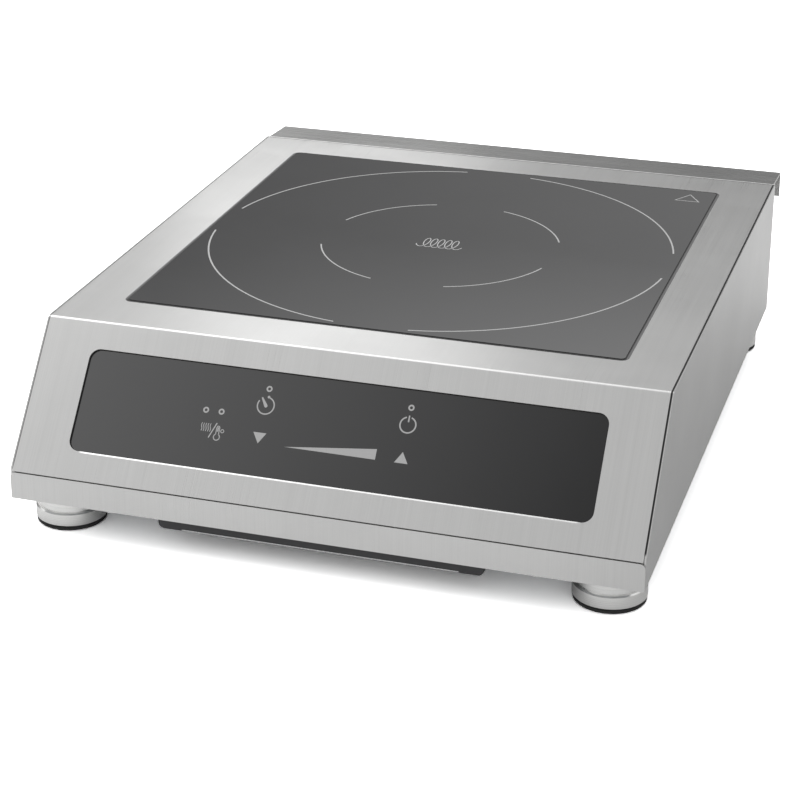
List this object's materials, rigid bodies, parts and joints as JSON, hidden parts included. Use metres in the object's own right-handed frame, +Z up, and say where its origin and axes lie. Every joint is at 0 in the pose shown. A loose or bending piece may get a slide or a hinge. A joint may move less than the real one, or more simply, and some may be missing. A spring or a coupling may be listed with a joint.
{
  "type": "induction hob",
  "caption": "Countertop induction hob with a square glass plate, sloping touch panel, rear ledge, cooling fans, pull-out grease filter and levelling feet.",
  "frame": {"origin": "centre of the footprint at the underside of the foot soles", "axes": "+Z up through the glass plate, -Y towards the control panel at the front, +X to the right seen from the front"},
  "size_m": [0.34, 0.428, 0.103],
  "materials": {
    "brushed_steel": "brushed stainless sheet",
    "zinc_sheet": "galvanised sheet",
    "screw_steel": "bright plated screws",
    "ceramic_glass": "black glass-ceramic, gloss top",
    "black_silicone": "black silicone bead",
    "mica": "pressed mica sheet",
    "litz_copper": "varnished stranded copper wire",
    "coil_plastic": "glass-filled moulding",
    "ferrite": "sintered ferrite",
    "aluminium_sheet": "mill-finish sheet",
    "zinc_steel": "zinc-plated turned steel",
    "spring_steel": "drawn spring wire",
    "lead_sleeve": "woven glass sleeve",
    "white_ceramic": "white ceramic",
    "panel_black": "gloss black touch overlay",
    "black_foam": "closed-cell foam",
    "grey_plastic": "dark grey moulding",
    "circuit_green": "lacquered circuit board",
    "display_black": "unlit segment display",
    "led_red": "diffused indicator lens",
    "black_plastic": "black moulding",
    "ribbon_grey": "flat ribbon cable",
    "brass_hex": "turned brass",
    "extruded_aluminium": "extruded aluminium",
    "capacitor_blue": "blue capacitor case",
    "capacitor_yellow": "yellow capacitor case",
    "choke_copper": "enamelled copper winding",
    "tape_yellow": "taped transformer",
    "ivory_plastic": "ivory moulding",
    "wire_brown": "insulated wire",
    "gland_nylon": "dark grey nylon",
    "fan_plastic": "black fan moulding",
    "filter_black": "black coated frame",
    "mesh_steel": "stainless wire mesh",
    "foot_steel": "turned stainless",
    "foot_rubber": "black rubber"
  },
  "bodies": {
    "hob": {"top_cover": "brushed_steel", "casing": "brushed_steel", "rear_ledge": "brushed_steel", "base_plate": "zinc_sheet", "case_screws": "screw_steel", "glass_plate": "ceramic_glass", "glass_seal": "black_silicone", "glass_frame": "zinc_sheet", "mica_sheet": "mica", "coil_winding": "litz_copper", "coil_former": "coil_plastic", "ferrite_bars": "ferrite", "coil_tray": "aluminium_sheet", "coil_posts": "zinc_steel", "coil_springs": "spring_steel", "coil_leads": "lead_sleeve", "thermistor": "white_ceramic", "control_panel": "panel_black", "panel_gasket": "black_foam", "board_carrier": "grey_plastic", "control_board": "circuit_green", "digit_display": "display_black", "indicator_leds": "led_red", "touch_springs": "spring_steel", "buzzer": "black_plastic", "ribbon_cable": "ribbon_grey", "power_board": "circuit_green", "board_standoffs": "brass_hex", "inner_screws": "screw_steel", "heat_sink": "extruded_aluminium", "igbts": "black_plastic", "bridge_rectifier": "black_plastic", "resonance_capacitors": "capacitor_blue", "filter_capacitors": "capacitor_yellow", "emi_choke": "choke_copper", "dc_choke": "choke_copper", "smps_transformer": "tape_yellow", "fuse": "white_ceramic", "terminal_block": "ivory_plastic", "mains_wires": "wire_brown", "cable_gland": "gland_nylon", "gland_nut": "gland_nylon", "bonding_stud": "screw_steel", "fan_frames": "black_plastic", "fan_stators": "choke_copper", "air_duct": "grey_plastic", "filter_rails": "zinc_sheet", "foot_nuts": "zinc_steel"},
    "fan_left": {"fan_rotor_left": "fan_plastic"},
    "fan_right": {"fan_rotor_right": "fan_plastic"},
    "grease_filter": {"filter_frame": "filter_black", "filter_mesh": "mesh_steel"},
    "foot_fl_pad": {"foot_sole_fl": "foot_rubber"},
    "foot_fl_screw": {"foot_cup_fl": "foot_steel"},
    "foot_fr_pad": {"foot_sole_fr": "foot_rubber"},
    "foot_fr_screw": {"foot_cup_fr": "foot_steel"},
    "foot_rl_pad": {"foot_sole_rl": "foot_rubber"},
    "foot_rl_screw": {"foot_cup_rl": "foot_steel"},
    "foot_rr_pad": {"foot_sole_rr": "foot_rubber"},
    "foot_rr_screw": {"foot_cup_rr": "foot_steel"}
  },
  "joints": [
    {"name": "fan_left_spin", "type": "hinge", "parent": "hob", "child": "fan_left", "pos_m": [-0.045, -0.14, 0.035], "axis": [0, 0, 1], "continuous": true},
    {"name": "fan_right_spin", "type": "hinge", "parent": "hob", "child": "fan_right", "pos_m": [0.045, -0.14, 0.035], "axis": [0, 0, 1], "continuous": true},
    {"name": "filter_pull", "type": "slide", "parent": "hob", "child": "grease_filter", "axis": [0, -1, 0], "range_m": [0, 0.112]},
    {"name": "foot_fl_travel", "type": "slide", "parent": "hob", "child": "foot_fl_pad", "axis": [0, 0, -1], "range_m": [0, 0.009]},
    {"name": "foot_fl_turn", "type": "hinge", "parent": "foot_fl_pad", "child": "foot_fl_screw", "pos_m": [-0.1478, -0.1879, 0.01], "axis": [0, 0, -1], "range_deg": [0, 2160]},
    {"name": "foot_fr_travel", "type": "slide", "parent": "hob", "child": "foot_fr_pad", "axis": [0, 0, -1], "range_m": [0, 0.009]},
    {"name": "foot_fr_turn", "type": "hinge", "parent": "foot_fr_pad", "child": "foot_fr_screw", "pos_m": [0.1478, -0.1879, 0.01], "axis": [0, 0, -1], "range_deg": [0, 2160]},
    {"name": "foot_rl_travel", "type": "slide", "parent": "hob", "child": "foot_rl_pad", "axis": [0, 0, -1], "range_m": [0, 0.009]},
    {"name": "foot_rl_turn", "type": "hinge", "parent": "foot_rl_pad", "child": "foot_rl_screw", "pos_m": [-0.1478, 0.159, 0.01], "axis": [0, 0, -1], "range_deg": [0, 2160]},
    {"name": "foot_rr_travel", "type": "slide", "parent": "hob", "child": "foot_rr_pad", "axis": [0, 0, -1], "range_m": [0, 0.009]},
    {"name": "foot_rr_turn", "type": "hinge", "parent": "foot_rr_pad", "child": "foot_rr_screw", "pos_m": [0.1478, 0.159, 0.01], "axis": [0, 0, -1], "range_deg": [0, 2160]}
  ],
  "couplings": [
    {"joint": "foot_fl_turn", "follows": "foot_fl_travel", "rad_per_m": 4188.8},
    {"joint": "foot_fr_turn", "follows": "foot_fr_travel", "rad_per_m": 4188.8},
    {"joint": "foot_rl_turn", "follows": "foot_rl_travel", "rad_per_m": 4188.8},
    {"joint": "foot_rr_turn", "follows": "foot_rr_travel", "rad_per_m": 4188.8}
  ]
}
